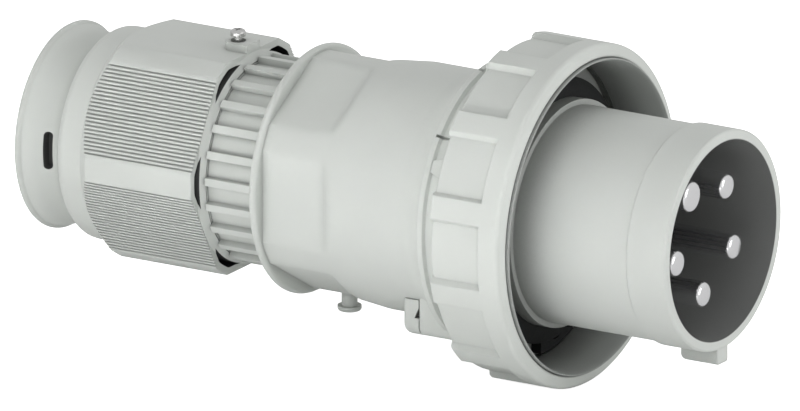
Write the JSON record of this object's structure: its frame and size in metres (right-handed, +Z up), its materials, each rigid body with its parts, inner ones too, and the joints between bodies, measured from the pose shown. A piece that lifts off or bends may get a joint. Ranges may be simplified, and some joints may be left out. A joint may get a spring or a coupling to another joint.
{
  "type": "electrical plug",
  "caption": "Heavy industrial electrical plug with a round shroud over metal pins, a ribbed locking ring, a faceted grip, a grooved gland nut and a flared cable entry.",
  "frame": {"origin": "on the plug's axis in the plane of the shroud's mouth", "axes": "+X along the plug's axis out of the mouth, the way the pins point; -Z towards the shroud's key; +Z up"},
  "size_m": [0.2832, 0.1298, 0.1298],
  "materials": {
    "housing_plastic": "satin moulded",
    "liner_plastic": "satin moulded",
    "carrier_plastic": "satin moulded",
    "cage_plastic": "satin moulded",
    "black_rubber": "matt",
    "pin_plating": "polished nickel plate",
    "screw_steel": "zinc plated"
  },
  "bodies": {
    "housing": {"front_housing": "housing_plastic", "rear_housing": "housing_plastic", "housing_catch_left": "housing_plastic", "housing_catch_right": "housing_plastic", "contact_carrier": "carrier_plastic", "carrier_plate": "carrier_plastic", "clamp_cage": "cage_plastic", "flange_gasket": "black_rubber", "housing_seal": "black_rubber", "seal_grommet": "black_rubber", "pin_earth": "pin_plating", "pin_line_1": "pin_plating", "pin_line_2": "pin_plating", "pin_line_3": "pin_plating", "pin_neutral": "pin_plating", "terminal_screws": "screw_steel", "carrier_screws": "screw_steel", "flange_screws": "screw_steel"},
    "ring": {"locking_ring": "housing_plastic", "bayonet_liner": "liner_plastic"},
    "gland": {"bell_mouth": "housing_plastic", "thrust_ring": "cage_plastic"},
    "nut": {"gland_nut": "housing_plastic", "lock_screw": "screw_steel"}
  },
  "joints": [
    {"name": "ring_turn", "type": "hinge", "parent": "housing", "child": "ring", "pos_m": [-0.07, 0, 0], "axis": [1, 0, 0], "range_deg": [0, 40]},
    {"name": "gland_travel", "type": "slide", "parent": "housing", "child": "gland", "axis": [-1, 0, 0], "range_m": [0, 0.0061]},
    {"name": "nut_turn", "type": "hinge", "parent": "gland", "child": "nut", "pos_m": [-0.23, 0, 0], "axis": [-1, 0, 0], "range_deg": [0, 540]}
  ],
  "couplings": [
    {"joint": "gland_travel", "follows": "nut_turn", "m_per_rad": 0.00063662}
  ]
}
